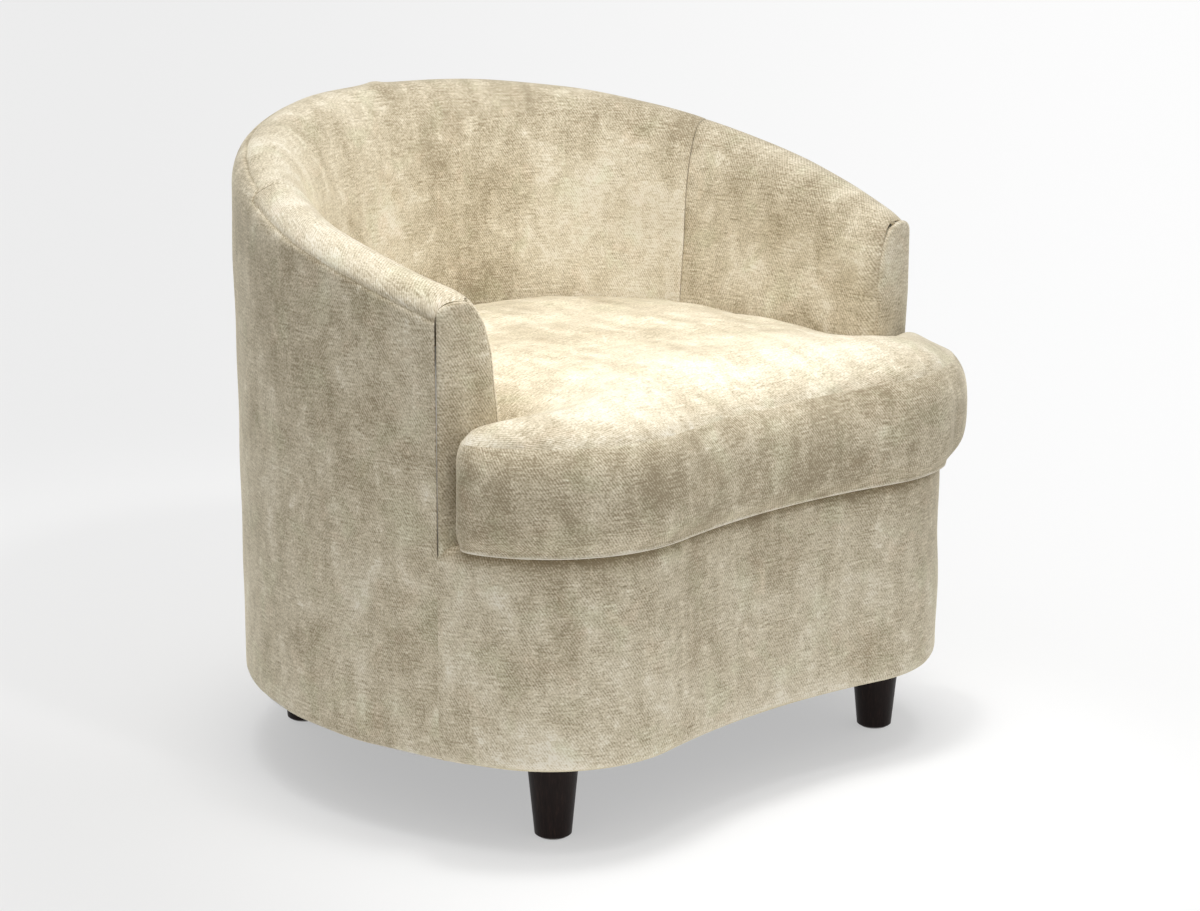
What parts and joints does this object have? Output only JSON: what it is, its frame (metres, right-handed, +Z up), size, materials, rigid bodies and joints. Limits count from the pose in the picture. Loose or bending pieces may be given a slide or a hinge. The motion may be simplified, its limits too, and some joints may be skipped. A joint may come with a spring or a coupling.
{
  "type": "upholstered tub armchair",
  "caption": "Low tub armchair in mottled beige velvet, with a sloping rolled rim, a serpentine front, a loose T-shaped seat cushion and short tapered dark wooden legs.",
  "frame": {"origin": "on the floor, under the middle of the box round the whole chair", "axes": "+X to the sitter's left hand, -Y is the front of the seat, +Z up"},
  "size_m": [0.75, 0.6904, 0.7004],
  "materials": {
    "leg_wood": "dark espresso stain, satin",
    "glide": "nylon, matte",
    "steel": "zinc plated",
    "plywood": "raw birch plywood",
    "frame_wood": "raw beech",
    "webbing": "elastic webbing",
    "felt": "needled felt",
    "foam": "polyurethane foam",
    "wadding": "polyester fibre",
    "fibreboard": "hard fibreboard",
    "velvet": "mottled beige velvet",
    "dust_cloth": "black non-woven cloth"
  },
  "bodies": {
    "chair": {"leg_front_left": "leg_wood", "leg_front_right": "leg_wood", "leg_back_left": "leg_wood", "leg_back_right": "leg_wood", "leg_glides": "glide", "hanger_bolts": "steel", "leg_nuts": "steel", "bottom_ring": "plywood", "seat_ring": "plywood", "lower_posts": "frame_wood", "upper_posts": "frame_wood", "front_board": "plywood", "top_rail": "plywood", "tack_rail": "plywood", "arm_board_left": "frame_wood", "arm_board_right": "frame_wood", "frame_screws": "steel", "seat_springs": "steel", "spring_clips": "steel", "webbing_straps": "webbing", "deck_felt": "felt", "deck_foam": "foam", "deck_cover": "velvet", "inside_foam": "foam", "rim_roll": "foam", "front_padding": "foam", "arm_pad_left": "foam", "arm_pad_right": "foam", "outside_wadding": "wadding", "outside_board": "fibreboard", "inside_back_cover": "velvet", "inside_arm_cover_left": "velvet", "inside_arm_cover_right": "velvet", "outside_back_cover": "velvet", "outside_arm_cover_left": "velvet", "outside_arm_cover_right": "velvet", "arm_front_cover_left": "velvet", "arm_front_cover_right": "velvet", "front_base_cover": "velvet", "dust_cover": "dust_cloth"},
    "cushion": {"cushion_foam": "foam", "cushion_topper": "wadding", "cushion_top_panel": "velvet", "cushion_boxing": "velvet", "cushion_bottom_panel": "velvet", "zip_tape": "webbing"},
    "zip_runner": {"zip_slider": "steel", "zip_pull": "steel"}
  },
  "joints": [
    {"name": "cushion_lift", "type": "slide", "parent": "chair", "child": "cushion", "axis": [0, 0, 1], "range_m": [0, 0.42]},
    {"name": "zip_run", "type": "hinge", "parent": "cushion", "child": "zip_runner", "pos_m": [0, -0.02975, 0.369], "axis": [0, 0, -1], "range_deg": [0, 130]}
  ]
}
